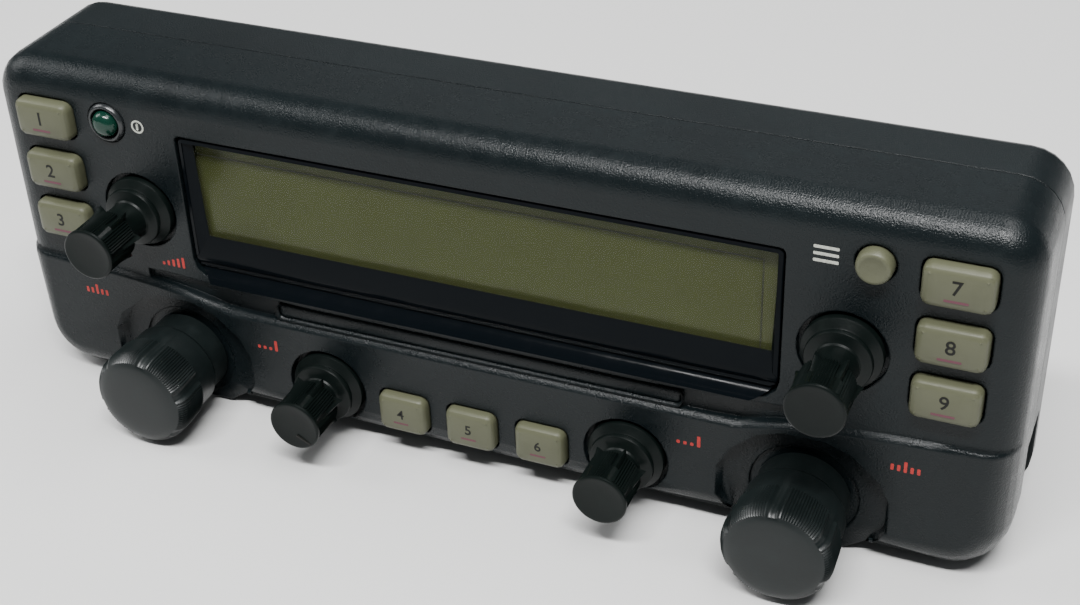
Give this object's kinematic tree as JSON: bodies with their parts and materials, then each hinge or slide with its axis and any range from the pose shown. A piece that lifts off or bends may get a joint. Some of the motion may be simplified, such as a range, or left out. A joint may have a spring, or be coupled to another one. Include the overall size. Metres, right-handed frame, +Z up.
{
  "type": "mobile transceiver control head",
  "caption": "Detachable control head of a dual-band mobile transceiver, with a backlit display, sprung keys, volume, squelch and tuning knobs, and a side jack for its control cable.",
  "frame": {"origin": "centre of the whole head's box, at the level of its bottom edge", "axes": "+X to the right seen from the front, +Y from the front to the back, +Z up"},
  "size_m": [0.14, 0.0344, 0.05],
  "materials": {
    "case_plastic": "fine textured, near-black blue-grey",
    "cover_plastic": "fine textured, near-black",
    "knob_plastic": "satin black",
    "key_plastic": "smooth light grey-beige",
    "power_lens": "translucent green, glossy",
    "collar_plastic": "glossy black",
    "window_clear": "clear, glossy acrylic",
    "lcd_olive": "olive liquid-crystal cell",
    "guide_acrylic": "frosted acrylic",
    "holder_plastic": "white moulded",
    "strip_rubber": "layered silicone",
    "board_green": "green solder mask",
    "chip_black": "moulded black",
    "lamp_white": "milky",
    "screw_steel": "black zinc",
    "insert_brass": "turned brass",
    "shaft_steel": "turned steel",
    "pot_tin": "tinned steel",
    "switch_black": "moulded black",
    "jack_black": "moulded black",
    "contact_gold": "gold plated"
  },
  "bodies": {
    "head": {"front_case": "case_plastic", "rear_cover": "cover_plastic", "display_window": "window_clear", "lcd_glass": "lcd_olive", "lcd_light_guide": "guide_acrylic", "lcd_holder": "holder_plastic", "lcd_connector_strip": "strip_rubber", "lamp_left": "lamp_white", "lamp_right": "lamp_white", "main_board": "board_green", "controller_ic": "chip_black", "power_collar": "collar_plastic", "mount_insert_left": "insert_brass", "mount_insert_right": "insert_brass", "control_jack": "jack_black", "jack_contacts": "contact_gold", "cover_screw_top_left": "screw_steel", "cover_screw_top_right": "screw_steel", "cover_screw_bottom_left": "screw_steel", "cover_screw_bottom_right": "screw_steel", "switch_left_top": "switch_black", "switch_left_middle": "switch_black", "switch_left_bottom": "switch_black", "switch_right_top": "switch_black", "switch_right_middle": "switch_black", "switch_right_bottom": "switch_black", "switch_centre_left": "switch_black", "switch_centre_middle": "switch_black", "switch_centre_right": "switch_black", "switch_set": "switch_black", "switch_power": "switch_black", "vol_pot_left": "pot_tin", "sql_pot_left": "pot_tin", "dial_encoder_left": "pot_tin", "vol_pot_right": "pot_tin", "sql_pot_right": "pot_tin", "dial_encoder_right": "pot_tin"},
    "key_left_top": {"button_left_top": "key_plastic"},
    "key_left_middle": {"button_left_middle": "key_plastic"},
    "key_left_bottom": {"button_left_bottom": "key_plastic"},
    "key_right_top": {"button_right_top": "key_plastic"},
    "key_right_middle": {"button_right_middle": "key_plastic"},
    "key_right_bottom": {"button_right_bottom": "key_plastic"},
    "key_centre_left": {"button_centre_left": "key_plastic"},
    "key_centre_middle": {"button_centre_middle": "key_plastic"},
    "key_centre_right": {"button_centre_right": "key_plastic"},
    "key_set": {"button_set": "key_plastic"},
    "key_power": {"button_power": "power_lens"},
    "vol_left": {"vol_knob_left": "knob_plastic", "vol_shaft_left": "shaft_steel"},
    "vol_right": {"vol_knob_right": "knob_plastic", "vol_shaft_right": "shaft_steel"},
    "sql_left": {"sql_knob_left": "knob_plastic", "sql_shaft_left": "shaft_steel"},
    "sql_right": {"sql_knob_right": "knob_plastic", "sql_shaft_right": "shaft_steel"},
    "dial_left": {"dial_knob_left": "knob_plastic", "dial_shaft_left": "shaft_steel"},
    "dial_right": {"dial_knob_right": "knob_plastic", "dial_shaft_right": "shaft_steel"}
  },
  "joints": [
    {"name": "press_left_top", "type": "slide", "parent": "head", "child": "key_left_top", "axis": [0, 1, 0], "range_m": [0, 0.0007], "stiffness_N_per_m": 300},
    {"name": "press_left_middle", "type": "slide", "parent": "head", "child": "key_left_middle", "axis": [0, 1, 0], "range_m": [0, 0.0007], "stiffness_N_per_m": 300},
    {"name": "press_left_bottom", "type": "slide", "parent": "head", "child": "key_left_bottom", "axis": [0, 1, 0], "range_m": [0, 0.0007], "stiffness_N_per_m": 300},
    {"name": "press_right_top", "type": "slide", "parent": "head", "child": "key_right_top", "axis": [0, 1, 0], "range_m": [0, 0.0007], "stiffness_N_per_m": 300},
    {"name": "press_right_middle", "type": "slide", "parent": "head", "child": "key_right_middle", "axis": [0, 1, 0], "range_m": [0, 0.0007], "stiffness_N_per_m": 300},
    {"name": "press_right_bottom", "type": "slide", "parent": "head", "child": "key_right_bottom", "axis": [0, 1, 0], "range_m": [0, 0.0007], "stiffness_N_per_m": 300},
    {"name": "press_centre_left", "type": "slide", "parent": "head", "child": "key_centre_left", "axis": [0, 1, 0], "range_m": [0, 0.0007], "stiffness_N_per_m": 300},
    {"name": "press_centre_middle", "type": "slide", "parent": "head", "child": "key_centre_middle", "axis": [0, 1, 0], "range_m": [0, 0.0007], "stiffness_N_per_m": 300},
    {"name": "press_centre_right", "type": "slide", "parent": "head", "child": "key_centre_right", "axis": [0, 1, 0], "range_m": [0, 0.0007], "stiffness_N_per_m": 300},
    {"name": "press_set", "type": "slide", "parent": "head", "child": "key_set", "axis": [0, 1, 0], "range_m": [0, 0.0007], "stiffness_N_per_m": 300},
    {"name": "press_power", "type": "slide", "parent": "head", "child": "key_power", "axis": [0, 1, 0], "range_m": [0, 0.0007], "stiffness_N_per_m": 300},
    {"name": "turn_vol_left", "type": "hinge", "parent": "head", "child": "vol_left", "pos_m": [-0.0485, 0, 0.0303], "axis": [0, 1, 0], "range_deg": [-150, 150]},
    {"name": "turn_vol_right", "type": "hinge", "parent": "head", "child": "vol_right", "pos_m": [0.0485, 0, 0.0303], "axis": [0, 1, 0], "range_deg": [-150, 150]},
    {"name": "turn_sql_left", "type": "hinge", "parent": "head", "child": "sql_left", "pos_m": [-0.0217, 0, 0.008], "axis": [0, 1, 0], "range_deg": [-150, 150]},
    {"name": "turn_sql_right", "type": "hinge", "parent": "head", "child": "sql_right", "pos_m": [0.0217, 0, 0.008], "axis": [0, 1, 0], "range_deg": [-150, 150]},
    {"name": "turn_dial_left", "type": "hinge", "parent": "head", "child": "dial_left", "pos_m": [-0.0448, 0, 0.0076], "axis": [0, 1, 0], "continuous": true},
    {"name": "turn_dial_right", "type": "hinge", "parent": "head", "child": "dial_right", "pos_m": [0.0448, 0, 0.0076], "axis": [0, 1, 0], "continuous": true}
  ]
}
